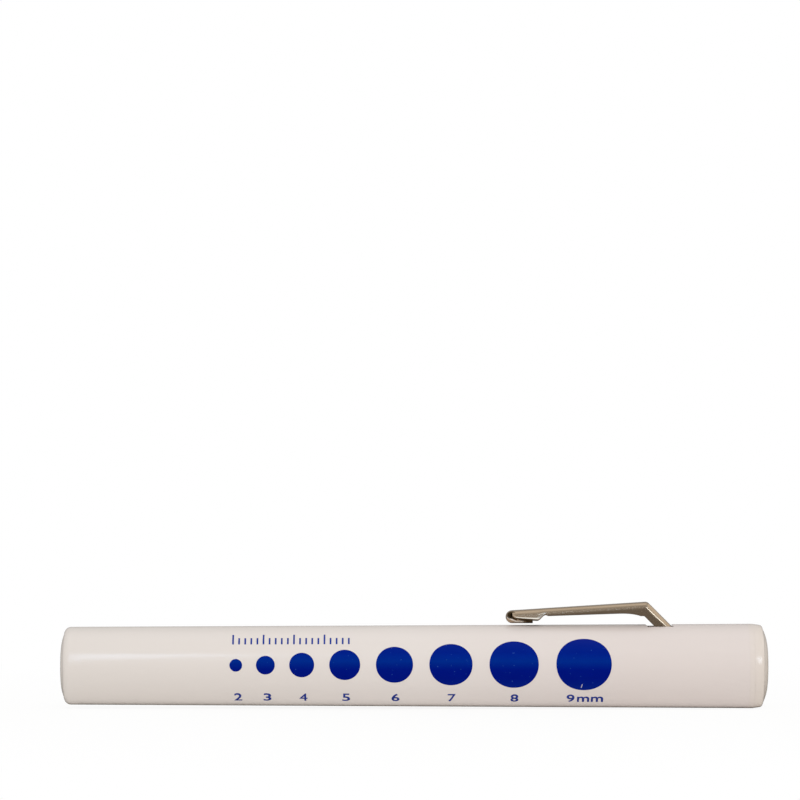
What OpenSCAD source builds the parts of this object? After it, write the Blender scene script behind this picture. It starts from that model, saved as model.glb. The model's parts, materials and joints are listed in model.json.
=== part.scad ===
// Pocket penlight with a pupil gauge printed on its barrel.
// The lamp looks along -X, the spring clip that switches it is on top (+Z) and the gauge faces -Y.
// The barrel lies level with its widest line on z = 0, and x = 0 is half its length.
// A station is a distance from the nose face, measured along the barrel.

/* [Cells] */
// Diameter of one cell over its jacket
cell_diameter = 10.5; // [9.5:0.1:12]
// Length of one cell, from its raised end to its flat end
cell_length = 44.5; // [40:0.5:52]
// Thickness of the jacket film
jacket_thickness = 0.15; // [0.1:0.01:0.3]
// Sheet thickness of the steel can
can_wall = 0.25; // [0.15:0.05:0.5]
// Overlap of the jacket on the raised end of the can
jacket_lip = 0.5; // [0.3:0.05:1]
// Diameter of the raised contact
nub_diameter = 3.8; // [3:0.1:4.5]
// Height of the raised contact
nub_height = 1; // [0.7:0.1:1.6]
// Diameter of the negative end cap
end_cap_diameter = 8.6; // [7:0.1:8.8]
// Depth of the negative end cap
end_cap_depth = 2.8; // [2:0.1:5]
// Sheet thickness of the negative end cap
end_cap_sheet = 0.4; // [0.2:0.05:0.6]
// Thickness of the nylon seal
seal_thickness = 1.2; // [0.8:0.1:2]
// Diameter of the collector pin
collector_diameter = 1.5; // [1:0.1:2]
// Length of the collector pin inside the filling
collector_depth = 28; // [10:1:34]

/* [Barrel] */
// Room around a cell at the nose end of the bore
bore_clearance = 0.2; // [0.15:0.05:0.6]
// Growth of the bore radius from nose to tail, for mould release
bore_draft = 0.3; // [0.1:0.05:0.5]
// Side wall at the nose
nose_side_wall = 0.95; // [0.9:0.05:2]
// Side wall at the tail
tail_side_wall = 1.2; // [1:0.05:2]
// Thickness of the end wall around the lamp
nose_wall = 1.4; // [1.2:0.1:3]
// Height of the slight dome on the nose
nose_crown = 0.5; // [0.2:0.05:0.8]
// Radius of the rounded nose edge
nose_edge = 1.1; // [0.5:0.1:1.5]
// Room for the switch between the rear cell and the end of the barrel
switch_room = 14.7; // [13:0.1:20]

/* [Lamp] */
// Diameter of the lamp's clear body
led_diameter = 5; // [3:0.1:5.4]
// Height of the lamp's clear body with its flange
led_height = 8.6; // [8:0.1:9]
// Diameter of the lamp's flange
led_flange_diameter = 5.8; // [5.6:0.1:6.4]
// Height of the lamp's flange
led_flange_height = 1; // [0.6:0.1:1.4]
// Depth of the lamp's tip below the nose face
led_recess = 0.5; // [0.1:0.1:1]
// Distance between the lamp's two wires
lead_pitch = 2.54; // [2:0.02:2.6]
// Side of the square lamp wires
lead_side = 0.5; // [0.4:0.05:0.6]
// Gap between the lamp and the edge of its hole
aperture_clearance = 0.2; // [0.1:0.05:0.5]
// Length of the moulded lamp holder
holder_length = 8.6; // [8.5:0.1:10]
// Diameter of the plate behind the lamp
anode_plate_diameter = 9.2; // [6:0.1:9.4]
// Thickness of the plate behind the lamp
anode_plate_thickness = 0.4; // [0.2:0.05:0.8]
// Thickness of the fibre washer around the front cell's contact
washer_thickness = 0.6; // [0.3:0.05:0.8]
// Gap around the washer, inside and outside
washer_clearance = 0.2; // [0.1:0.05:0.4]
// Gap around the lamp holder, and around the lamp in it
holder_clearance = 0.05; // [0.02:0.01:0.1]
// Gap between the lamp's cathode wire and the plate behind it
lead_gap = 0.15; // [0.1:0.05:0.3]
// Depth of the wire frame below the lamp's tip
anvil_depth = 3.6; // [3:0.1:4]
// Length of the wire frame's anvil
anvil_length = 1.6; // [1.2:0.1:2]
// Side of the light-giving chip
chip_side = 1; // [0.6:0.1:1.2]
// Height of the light-giving chip
chip_height = 0.3; // [0.1:0.05:0.5]

/* [Return strip] */
// Width of the brass strip
strip_width = 2.4; // [1.6:0.1:2.6]
// Thickness of the brass strip
strip_thickness = 0.25; // [0.15:0.05:0.35]
// Gap between the strip and the cells under it
strip_gap = 0.07; // [0.05:0.01:0.15]
// Overlap of the strip with the lamp holder
strip_overlap = 0.9; // [0.8:0.05:1.2]

/* [Clip] */
// Outer width of the clip
clip_width = 3.6; // [3:0.1:5]
// Sheet thickness of the clip
clip_sheet = 0.45; // [0.3:0.05:0.6]
// Distance from the rear cell to the back of the clip where it meets the barrel
clip_root_offset = 1.05; // [0.7:0.05:2]
// Slope of the clip's leg
leg_angle = 45; // [40:1:55]
// Height of the elbow above the barrel
elbow_height = 3.7; // [3:0.1:5]
// Length of the arm from the elbow to the middle of its rolled end
arm_length = 22.35; // [18:0.05:30]
// Gap between the rolled end and the barrel
foot_gap = 0.3; // [0.2:0.05:0.8]
// Outer radius of the rolled end
curl_radius = 1.05; // [0.9:0.05:1.3]
// Length of the flat tongue behind the rolled end
curl_tongue = 3.4; // [1:0.1:4]
// Depth of the flanges along the leg
leg_flange = 2.03; // [1.5:0.05:2.5]
// Depth of the flanges next to the elbow
elbow_flange = 2.1; // [1.4:0.05:2.2]
// Height of the chamfer inside the elbow
elbow_chamfer = 0.9; // [0.5:0.05:1.2]
// Depth of the flanges along the arm
arm_flange = 1.25; // [0.9:0.05:1.6]
// Depth of the rounded ears at the free end
ear_flange = 1.75; // [1.3:0.05:2]
// Length of the ears
ear_length = 5.6; // [4:0.1:7]
// Length of the ears' rising rear edge
ear_rise = 1.4; // [0.5:0.1:2]
// Depth of the flanges at the free end
tip_flange = 1.05; // [0.8:0.05:1.3]
// Width of the tongue inside the barrel
foot_width = 3; // [2:0.1:3.2]
// Length of the contact foot inside the barrel
foot_length = 3; // [2:0.1:4]
// Gap between the contact foot and the bore above it
foot_clearance = 0.2; // [0.15:0.05:0.4]
// Angle that the clip turns when it is pressed
press_angle = 1.7; // [1:0.1:2]
// Gap around the clip in its slot
slot_clearance = 0.25; // [0.15:0.05:0.5]
// Gap left at a contact when the clip is pressed home
contact_gap = 0.15; // [0.1:0.05:0.3]

/* [Tail] */
// Length of the plug's visible head
plug_head_length = 2.4; // [2:0.1:5]
// Height of the slight dome on the tail
plug_crown = 0.6; // [0.2:0.05:0.8]
// Radius of the rounded tail edge
plug_edge = 1; // [0.5:0.1:1.1]
// Diameter of the flat in the middle of the tail
plug_flat_diameter = 6; // [4:0.5:8]
// Length of the spigot that fits the barrel
spigot_length = 6; // [4:0.5:7]
// Wall of the spigot
spigot_wall = 1.2; // [0.8:0.1:1.6]
// Running clearance of the spigot in its seat
spigot_clearance = 0.05; // [0.02:0.01:0.1]
// Extra radius of the seat over the bore
seat_step = 0.1; // [0.08:0.01:0.2]
// Floor of the plug under the spring
plug_floor = 0.8; // [0.5:0.1:1.5]
// Length of the post inside the spring
post_length = 4; // [2:0.5:6]
// Gap between the spring and the parts inside and outside it
spring_clearance = 0.35; // [0.2:0.05:0.5]
// Wire diameter of the spring
spring_wire = 0.6; // [0.4:0.05:0.7]
// Turns of the spring
spring_turns = 6.5; // [4:0.5:8]
// Sheet thickness of the contact cup on the spring
cup_sheet = 0.3; // [0.2:0.05:0.4]
// Reach of the cup's wall under the contact foot
cup_reach = 2.25; // [1:0.05:2.8]
// Room between the end of the spigot and the end of its seat
seat_room = 0.25; // [0.1:0.05:1]

/* [Print] */
// Station of the middle of the smallest dot
gauge_first = 29; // [24:0.5:36]
// Diameter of the smallest dot
gauge_smallest = 2; // [1:0.5:3]
// Growth of the diameter from dot to dot
gauge_step = 1; // [0.5:0.25:1]
// Number of dots
gauge_count = 8; // [3:1:8]
// Gap between the first two dots
gauge_gap = 2.35; // [1:0.05:3]
// Growth of the gap from dot to dot
gauge_gap_growth = 0.1; // [0:0.05:0.2]
// Angle of the row of dots above the front line
gauge_angle = 5.5; // [0:0.5:10]
// Station of the first mark of the millimetre scale
scale_first = 28.5; // [24:0.5:36]
// Distance between two marks of the scale
scale_pitch = 1; // [0.5:0.1:2]
// Number of divisions of the scale
scale_divisions = 19; // [9:1:40]
// Angle of the millimetre scale above the front line
scale_angle = 44.5; // [40:0.5:60]
// Number of divisions between two long marks
scale_group = 5; // [2:1:10]
// Length of a long mark
scale_long = 2.1; // [1.5:0.1:3]
// Length of a short mark
scale_short = 1.3; // [0.8:0.1:1.4]
// Width of a mark
scale_line = 0.28; // [0.2:0.02:0.4]
// Thickness of the ink
ink_thickness = 0.08; // [0.05:0.01:0.12]

/* [Hidden] */
$fn = 96;
arc_steps = 8;
dot_steps = 48;
cut_margin = 1;
white = [0.93, 0.91, 0.89];
ink_blue = [0.05, 0.12, 0.5];
nickel = [0.66, 0.61, 0.54];
brass = [0.8, 0.65, 0.35];
steel = [0.72, 0.72, 0.73];
film_green = [0.25, 0.45, 0.3];

// Stations of the stack inside the barrel, from the nose to the tail
holder_end = nose_wall + holder_length;
cells_start = holder_end + anode_plate_thickness;
cells_end = cells_start + 2 * cell_length;
barrel_length = cells_end + switch_room;
overall_length = barrel_length + plug_head_length;
led_base = led_recess + led_height;
spigot_start = barrel_length - spigot_length;
plug_floor_station = barrel_length - plug_floor;
cup_floor_end = cells_end + cup_sheet;

// Radii of the barrel
cell_radius = cell_diameter / 2;
bore_nose = cell_radius + bore_clearance;
bore_tail = bore_nose + bore_draft;
nose_radius = bore_nose + nose_side_wall;
tail_radius = bore_tail + tail_side_wall;
axis_height = tail_radius;
led_radius = led_diameter / 2;
aperture_radius = led_radius + aperture_clearance;
seat_radius = bore_tail + seat_step;
spigot_radius = seat_radius - spigot_clearance;
function outer_radius(station) =
    nose_radius + (tail_radius - nose_radius) * station / barrel_length;
function bore_radius(station) =
    bore_nose + bore_draft * station / barrel_length;

// Radii of the return strip in its groove
strip_low = cell_radius + strip_gap;
strip_high = strip_low + strip_thickness;
strip_start = holder_end - strip_overlap;

// Side view of the clip: stations along, radii from the barrel's axis up
clip_root = cells_end + clip_root_offset;
root_radius = outer_radius(clip_root);
elbow = [
    clip_root - elbow_height / tan(leg_angle),
    root_radius + elbow_height
];
curl_station = elbow[0] - arm_length;
curl_center = [
    curl_station,
    outer_radius(curl_station) + foot_gap + curl_radius
];
arm_slope = atan((elbow[1] - curl_center[1] - curl_radius) / arm_length);
function sagitta(width, radius) = radius - sqrt(radius * radius - width * width / 4);
foot_high = bore_radius(clip_root) - foot_clearance - sagitta(foot_width, bore_tail);
foot_low = foot_high - clip_sheet;
foot_start = clip_root + (root_radius - foot_high) / tan(leg_angle);
foot_end = foot_start + foot_length;
function arm_top(station) = elbow[1] - (elbow[0] - station) * tan(arm_slope);
function leg_back(radius) = clip_root + (root_radius - radius) / tan(leg_angle);
function leg_front(radius) = leg_back(radius) - leg_flange / sin(leg_angle);
function web_front(radius) = leg_back(radius) - clip_sheet / sin(leg_angle);
bend_drop = clip_sheet * (1 + tan(arm_slope) / sin(leg_angle)) / (1 + tan(arm_slope) / tan(leg_angle));
bend_radius = elbow[1] - bend_drop;
throat_radius = elbow[1] - leg_flange - elbow_chamfer;
throat_station = elbow[0] - leg_flange;
ear_end = curl_center[0] + ear_length;
ear_peak = ear_end - ear_rise;
arm_middle = (elbow[0] + ear_end) / 2;

// Travel of the clip as it turns about its rolled end
function press_dip(station) = (station - curl_center[0]) * sin(press_angle);
function press_shift(station) = press_dip(station) / tan(leg_angle)
    + (curl_center[1] - foot_low) * sin(press_angle);
flange_low = strip_high + contact_gap + press_dip(clip_root);
tongue_top = flange_low + clip_sheet;
strip_end = web_front(strip_high) - press_shift(foot_start) - contact_gap;
cup_radius = foot_low - press_dip(foot_end) - contact_gap;
cup_inner = cup_radius - cup_sheet;
cup_end = foot_start + cup_reach;

// Spring between the cup and the plug
spring_radius = cup_inner - spring_clearance - spring_wire / 2;
spring_length = plug_floor_station - cup_floor_end;
post_radius = spring_radius - spring_wire / 2 - spring_clearance;
spring_steps = 16;
spring_sides = 6;
spring_rings = spring_turns * spring_steps;
spring_rise = spring_length - 2 * spring_wire;

// Places a shape that is drawn around +Z on the barrel's axis, with z = 0 at a station
module along_axis(station) {
    translate([station - overall_length / 2, 0, axis_height]) rotate([0, 90, 0]) children();
}

// Stands a side view, drawn as [station, radius], upright on the barrel's axis with a given width
module side_plate(width, y = 0) {
    translate([-overall_length / 2, y + width / 2, axis_height])
        rotate([90, 0, 0]) linear_extrude(width) children();
}

// A tube or a disc around the barrel's axis
module ring(start, end, outer, inner = 0) {
    along_axis(start) difference() {
        cylinder(h = end - start, r = outer);
        if (inner > 0)
            translate([0, 0, -cut_margin]) cylinder(h = end - start + 2 * cut_margin, r = inner);
    }
}

// Points of a quarter round, from one angle to another
function arc_points(center, radius, from, to) =
    [for (i = [0:arc_steps]) let (a = from + (to - from) * i / arc_steps)
        center + radius * [cos(a), sin(a)]];

// Points of a slight dome between two radii, as [radius, station]
function crown_points(inner, outer, face, depth) =
    [for (i = [0:arc_steps]) let (t = i / arc_steps)
        [inner + (outer - inner) * t, face + depth * t * t]];

// The strip's groove, which also opens the holder's edge
module strip_groove(start, end) {
    side_plate(strip_width + 2 * strip_gap)
        polygon([
            [start, 0], [end, 0],
            [end, strip_high + strip_gap], [start, strip_high + strip_gap]
        ]);
}

// Moulded barrel: tapered tube, lamp hole, plug seat, strip groove and the clip's slanted slot
module barrel() {
    rounded_nose = arc_points(
        [outer_radius(nose_crown + nose_edge) - nose_edge, nose_crown + nose_edge],
        nose_edge, -90, 0);
    domed_nose = crown_points(aperture_radius, rounded_nose[0][0], 0, nose_crown);
    dome_flank = [for (i = [0:arc_steps - 1]) domed_nose[i]];
    seat_start = spigot_start - seat_room;
    color(white) difference() {
        along_axis(0) rotate_extrude() polygon(concat(
            dome_flank,
            rounded_nose,
            [
                [tail_radius, barrel_length],
                [seat_radius, barrel_length],
                [seat_radius, seat_start],
                [bore_radius(seat_start), seat_start],
                [bore_radius(nose_wall), nose_wall],
                [aperture_radius, nose_wall]
            ]));
        strip_groove(strip_start - strip_gap, strip_end + cut_margin);
        clip_slot();
    }
}

// Slot for the clip's leg, with room in front for the travel of a press
module clip_slot() {
    high = root_radius + cut_margin;
    low = strip_low;
    reach = press_shift(foot_start) + slot_clearance;
    side_plate(clip_width + 2 * slot_clearance)
        polygon([
            [leg_front(high) - reach, high],
            [leg_back(high) + slot_clearance, high],
            [leg_back(low) + slot_clearance, low],
            [leg_front(low) - reach, low]
        ]);
}

// Push-in tail plug with a domed head, a hollow spigot and a post inside the spring
module tail_plug() {
    rounded_tail = arc_points(
        [tail_radius - plug_edge, overall_length - plug_crown - plug_edge], plug_edge, 90, 0);
    domed_tail = crown_points(
        plug_flat_diameter / 2, rounded_tail[0][0], overall_length, -plug_crown);
    dome_flank = [for (i = [0:arc_steps - 1]) domed_tail[i]];
    color(white) along_axis(0) rotate_extrude() polygon(concat(
        [[0, overall_length]],
        dome_flank,
        rounded_tail,
        [
            [tail_radius, barrel_length],
            [spigot_radius, barrel_length],
            [spigot_radius, spigot_start],
            [spigot_radius - spigot_wall, spigot_start],
            [spigot_radius - spigot_wall, plug_floor_station],
            [post_radius, plug_floor_station],
            [post_radius, plug_floor_station - post_length],
            [0, plug_floor_station - post_length]
        ]));
}

// Stamped clip: channel arm with ears, rolled end, slanted leg, and a contact foot inside the barrel
module pocket_clip() {
    tip_high = arm_top(curl_center[0]);
    color(nickel) union() {
        for (side = [-1, 1])
            side_plate(clip_sheet, side * (clip_width - clip_sheet) / 2)
                polygon([
                    [curl_center[0], tip_high],
                    elbow,
                    [leg_back(flange_low), flange_low],
                    [leg_front(flange_low), flange_low],
                    [leg_front(throat_radius), throat_radius],
                    [throat_station, arm_top(throat_station) - elbow_flange],
                    [arm_middle, arm_top(arm_middle) - arm_flange],
                    [ear_end, arm_top(ear_end) - arm_flange],
                    [ear_peak, arm_top(ear_peak) - ear_flange],
                    [curl_center[0], tip_high - tip_flange]
                ]);
        side_plate(clip_width)
            polygon([
                [curl_center[0], tip_high],
                elbow,
                [leg_back(flange_low), flange_low],
                [web_front(flange_low), flange_low],
                [web_front(bend_radius), bend_radius],
                [curl_center[0], tip_high - clip_sheet]
            ]);
        side_plate(foot_width)
            polygon([
                [leg_back(tongue_top), tongue_top],
                [foot_start, foot_high],
                [foot_end, foot_high],
                [foot_end, foot_low],
                [web_front(foot_low), foot_low],
                [web_front(tongue_top), tongue_top]
            ]);
        rolled_end(clip_width - 2 * clip_sheet);
    }
}

// Rolled end of the clip, which rocks on the barrel, with the tongue that follows it
module rolled_end(width) {
    side_plate(width) {
        difference() {
            translate(curl_center) circle(r = curl_radius);
            translate(curl_center) circle(r = curl_radius - clip_sheet);
            translate(curl_center - [0, curl_radius + cut_margin])
                square([curl_radius + cut_margin, 2 * (curl_radius + cut_margin)]);
        }
        translate(curl_center - [0, curl_radius]) square([curl_tongue, clip_sheet]);
    }
}

// Brass strip that carries the current from the switch to the lamp
module return_strip() {
    color(brass) side_plate(strip_width)
        polygon([
            [strip_start, strip_low], [strip_end, strip_low],
            [strip_end, strip_high], [strip_start, strip_high]
        ]);
}

// Cup on the spring, pressed against the rear cell
module contact_cup() {
    color(steel) difference() {
        ring(cells_end, cup_end, cup_radius);
        ring(cup_floor_end, cup_end + cut_margin, cup_inner);
    }
}

// Path of the spring around +Z: a helix, with a short straight run at each end
function spring_angle(ring) = 360 * ring / spring_steps;
function spring_point(ring) = [
    spring_radius * cos(spring_angle(ring)),
    spring_radius * sin(spring_angle(ring)),
    spring_wire + spring_rise * ring / spring_rings
];
spring_path = concat(
    [[spring_radius, 0, 0]],
    [for (i = [0:spring_rings]) spring_point(i)],
    [spring_point(spring_rings) + [0, 0, spring_wire]]
);
spring_turn_at = concat(
    [0], [for (i = [0:spring_rings]) spring_angle(i)], [spring_angle(spring_rings)]
);
spring_last = len(spring_path) - 1;
function unit(v) = v / norm(v);
function spring_tangent(i) =
    unit(spring_path[min(i + 1, spring_last)] - spring_path[max(i - 1, 0)]);
spring_skin = [
    for (i = [0:spring_last], j = [0:spring_sides - 1])
        let (
            out = [cos(spring_turn_at[i]), sin(spring_turn_at[i]), 0],
            across = cross(spring_tangent(i), out),
            a = 360 * j / spring_sides
        )
        spring_path[i] + spring_wire / 2 * (cos(a) * out + sin(a) * across)
];
function skin_index(i, j) = i * spring_sides + j % spring_sides;
spring_faces = concat(
    [for (i = [0:spring_last - 1], j = [0:spring_sides - 1])
        [skin_index(i, j), skin_index(i + 1, j + 1), skin_index(i, j + 1)]],
    [for (i = [0:spring_last - 1], j = [0:spring_sides - 1])
        [skin_index(i, j), skin_index(i + 1, j), skin_index(i + 1, j + 1)]],
    [for (j = [1:spring_sides - 2]) [skin_index(0, 0), skin_index(0, j), skin_index(0, j + 1)]],
    [for (j = [1:spring_sides - 2])
        [skin_index(spring_last, 0), skin_index(spring_last, j + 1), skin_index(spring_last, j)]]
);
spring_least_gap = min([
    for (i = [0:spring_last])
        for (j = [i + spring_steps / 2:1:spring_last])
            norm(spring_path[i] - spring_path[j])
]) - spring_wire;
echo(spring_least_gap = spring_least_gap);

// Coil spring that presses the cup and the cells forward
module tail_spring() {
    color(steel) along_axis(cup_floor_end) polyhedron(points = spring_skin, faces = spring_faces);
}

// Moulded bush that holds the lamp in the nose
module lamp_holder() {
    flange_seat = led_base - led_flange_height;
    color(white) difference() {
        ring(nose_wall, holder_end, bore_nose - holder_clearance, led_radius + holder_clearance);
        ring(flange_seat, holder_end + cut_margin, led_flange_diameter / 2 + holder_clearance);
        strip_groove(strip_start - strip_gap, holder_end + cut_margin);
    }
}

// Outline of the lamp's clear body, turned around the axis
module lamp_body() {
    dome_center = led_recess + led_radius;
    along_axis(0) rotate_extrude() polygon(concat(
        [for (i = [0:arc_steps]) let (a = 90 * i / arc_steps)
            [led_radius * sin(a), dome_center - led_radius * cos(a)]],
        [
            [led_radius, led_base - led_flange_height],
            [led_flange_diameter / 2, led_base - led_flange_height],
            [led_flange_diameter / 2, led_base],
            [0, led_base]
        ]));
}

// Clear lamp body, cast around its two wires and its chip
module lamp_lens() {
    color([0.9, 0.93, 0.95, 0.6]) difference() {
        lamp_body();
        lamp_anode_lead();
        lamp_cathode_lead();
        lamp_chip();
    }
}

// Place of the wire frame inside the lamp
anvil_station = led_recess + anvil_depth;
anvil_middle = lead_pitch / 4;

// Wire from the lamp to the plate behind it
module lamp_anode_lead() {
    low = -(lead_pitch + lead_side) / 2;
    color(steel) side_plate(lead_side)
        polygon([
            [anvil_station + anvil_length / 2, low], [holder_end, low],
            [holder_end, low + lead_side], [anvil_station + anvil_length / 2, low + lead_side]
        ]);
}

// Wire from the chip's anvil to the return strip
module lamp_cathode_lead() {
    low = (lead_pitch - lead_side) / 2;
    turn_end = holder_end - lead_gap;
    turn_start = turn_end - lead_side;
    anvil_low = -lead_side / 2;
    color(steel) side_plate(lead_side)
        polygon([
            [anvil_station, anvil_low],
            [anvil_station + anvil_length, anvil_low],
            [anvil_station + anvil_length, low],
            [turn_end, low],
            [turn_end, strip_low],
            [turn_start, strip_low],
            [turn_start, low + lead_side],
            [anvil_station, low + lead_side]
        ]);
}

// Light-giving chip on its anvil
module lamp_chip() {
    low = anvil_middle - chip_side / 2;
    chip_front = anvil_station - chip_height;
    color([0.95, 0.85, 0.3]) side_plate(lead_side)
        polygon([
            [chip_front, low], [anvil_station, low],
            [anvil_station, low + chip_side], [chip_front, low + chip_side]
        ]);
}

// Plate that the front cell's contact presses on
module anode_plate() {
    color(brass) ring(holder_end, cells_start, anode_plate_diameter / 2);
}

// Fibre washer that keeps a reversed cell from making contact
module insulating_washer() {
    color([0.55, 0.4, 0.28])
        ring(cells_start, cells_start + washer_thickness,
            strip_low - washer_clearance, nub_diameter / 2 + washer_clearance);
}

// Inner measures of a cell
can_radius = cell_radius - jacket_thickness;
fill_radius = can_radius - can_wall;
end_cap_radius = end_cap_diameter / 2;
end_cap_start = cell_length - end_cap_depth;
seal_start = end_cap_start - seal_thickness;
can_end = cell_length - end_cap_sheet - jacket_thickness;

// Steel can with its raised contact, open towards the seal
module cell_can(start) {
    color(steel) difference() {
        union() {
            ring(start, start + nub_height + can_wall, nub_diameter / 2);
            ring(start + nub_height, start + can_end, can_radius);
        }
        ring(start + can_wall, start + nub_height + cut_margin, nub_diameter / 2 - can_wall);
        ring(start + nub_height + can_wall, start + can_end + cut_margin, fill_radius);
    }
}

// Plain film jacket, shrunk over both ends of the can
module cell_jacket(start, tint) {
    front = start + nub_height - jacket_thickness;
    back = start + can_end + jacket_thickness;
    color(tint) difference() {
        ring(front, back, cell_radius);
        ring(front + jacket_thickness, back - jacket_thickness, can_radius);
        ring(front - cut_margin, front + cut_margin, can_radius - jacket_lip);
        ring(back - cut_margin, back + cut_margin, can_radius - can_wall);
    }
}

// Packed filling with the hole of the collector pin
module cell_filling(start) {
    color([0.2, 0.2, 0.2]) difference() {
        ring(start + nub_height + can_wall, start + seal_start, fill_radius);
        ring(start + seal_start - collector_depth, start + seal_start + cut_margin,
            collector_diameter / 2);
    }
}

// Pin from the filling to the end cap
module cell_collector(start) {
    color(brass)
        ring(start + seal_start - collector_depth, start + cell_length - end_cap_sheet,
            collector_diameter / 2);
}

// Nylon seal in the open end of the can
module cell_seal(start) {
    color([0.85, 0.85, 0.8])
        ring(start + seal_start, start + end_cap_start, fill_radius, collector_diameter / 2);
}

// Cup-shaped negative end cap on the seal
module cell_end_cap(start) {
    color(steel) difference() {
        ring(start + end_cap_start, start + cell_length, end_cap_radius);
        ring(start + end_cap_start - cut_margin, start + cell_length - end_cap_sheet,
            end_cap_radius - end_cap_sheet);
    }
}

// Thin skin of ink around the barrel between two stations
module ink_skin(start, end) {
    along_axis(0) rotate_extrude() polygon([
        [outer_radius(start), start], [outer_radius(start) + ink_thickness, start],
        [outer_radius(end) + ink_thickness, end], [outer_radius(end), end]
    ]);
}

// Stamps flat outlines, drawn as [station, height], on the barrel at an angle above the front line
module stamp(angle) {
    translate([-overall_length / 2, 0, axis_height]) rotate([90 - angle, 0, 0])
        linear_extrude(tail_radius + cut_margin) children();
}

// Gauge dots, wrapped round the barrel so that each is a true circle on its surface
function dot_diameter(i) = gauge_smallest + gauge_step * i;
function dot_station(i) = i == 0 ? gauge_first
    : dot_station(i - 1) + (dot_diameter(i - 1) + dot_diameter(i)) / 2
        + gauge_gap + gauge_gap_growth * (i - 1);
module gauge_dots() {
    last = gauge_count - 1;
    color(ink_blue) intersection() {
        ink_skin(gauge_first - dot_diameter(0), dot_station(last) + dot_diameter(last));
        stamp(gauge_angle)
            for (i = [0:last])
                let (radius = dot_diameter(i) / 2, around = outer_radius(dot_station(i)))
                    polygon([for (k = [0:dot_steps - 1]) let (a = 360 * k / dot_steps)
                        [dot_station(i) + radius * cos(a),
                            around * sin(radius * sin(a) / around * 180 / PI)]]);
    }
}

// Plain millimetre scale above the dots, with a longer mark at each group of divisions
module gauge_scale() {
    color(ink_blue) intersection() {
        ink_skin(scale_first - cut_margin, scale_first + scale_pitch * scale_divisions + cut_margin);
        stamp(scale_angle)
            for (i = [0:scale_divisions])
                let (mark = i % scale_group == 0 ? scale_long : scale_short)
                    translate([scale_first + scale_pitch * i - scale_line / 2, -scale_long / 2])
                        square([scale_line, mark]);
    }
}

barrel();
tail_plug();
pocket_clip();
return_strip();
contact_cup();
tail_spring();
lamp_holder();
lamp_lens();
lamp_anode_lead();
lamp_cathode_lead();
lamp_chip();
anode_plate();
insulating_washer();
cell_can(cells_start);  // front_cell_can
cell_jacket(cells_start, film_green);  // front_cell_jacket
cell_filling(cells_start);  // front_cell_filling
cell_collector(cells_start);  // front_cell_collector
cell_seal(cells_start);  // front_cell_seal
cell_end_cap(cells_start);  // front_cell_end_cap
cell_can(cells_start + cell_length);  // rear_cell_can
cell_jacket(cells_start + cell_length, film_green);  // rear_cell_jacket
cell_filling(cells_start + cell_length);  // rear_cell_filling
cell_collector(cells_start + cell_length);  // rear_cell_collector
cell_seal(cells_start + cell_length);  // rear_cell_seal
cell_end_cap(cells_start + cell_length);  // rear_cell_end_cap
gauge_dots();
gauge_scale();
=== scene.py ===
import json
import math

import bmesh
import bpy
from mathutils import Matrix, Vector


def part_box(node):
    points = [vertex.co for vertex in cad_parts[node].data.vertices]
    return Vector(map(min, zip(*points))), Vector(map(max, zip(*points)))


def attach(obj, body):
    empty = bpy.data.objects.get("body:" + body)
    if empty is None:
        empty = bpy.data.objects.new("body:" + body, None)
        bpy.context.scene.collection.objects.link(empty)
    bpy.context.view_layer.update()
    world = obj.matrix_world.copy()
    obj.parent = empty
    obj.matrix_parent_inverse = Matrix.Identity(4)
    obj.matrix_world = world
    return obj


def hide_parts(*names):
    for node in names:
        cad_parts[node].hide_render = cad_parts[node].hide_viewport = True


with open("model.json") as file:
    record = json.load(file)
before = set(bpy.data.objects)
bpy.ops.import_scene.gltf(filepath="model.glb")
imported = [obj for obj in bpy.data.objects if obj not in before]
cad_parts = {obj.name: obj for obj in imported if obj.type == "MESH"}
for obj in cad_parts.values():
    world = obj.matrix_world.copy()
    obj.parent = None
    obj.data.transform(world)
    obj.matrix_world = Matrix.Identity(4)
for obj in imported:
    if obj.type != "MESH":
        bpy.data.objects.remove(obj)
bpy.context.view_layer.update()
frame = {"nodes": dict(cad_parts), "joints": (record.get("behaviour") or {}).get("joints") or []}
mm = 0.001

# Places that every piece is measured from, taken from the frame
barrelLow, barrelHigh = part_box("barrel")
plugLow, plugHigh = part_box("tail_plug")
clipLow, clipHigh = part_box("pocket_clip")
noseX = barrelLow.x
seamX = barrelHigh.x
tailX = plugHigh.x
axisZ = (plugLow.z + plugHigh.z) / 2
tailRadius = (plugHigh.z - plugLow.z) / 2
joints = {joint["name"]: joint for joint in frame["joints"]}
rollX = joints["clip_press"]["pos_m"][0]  # middle of the clip's rolled end
rollZ = joints["clip_press"]["pos_m"][2]
print("frame loaded:", len(frame["nodes"]), "nodes")


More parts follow.
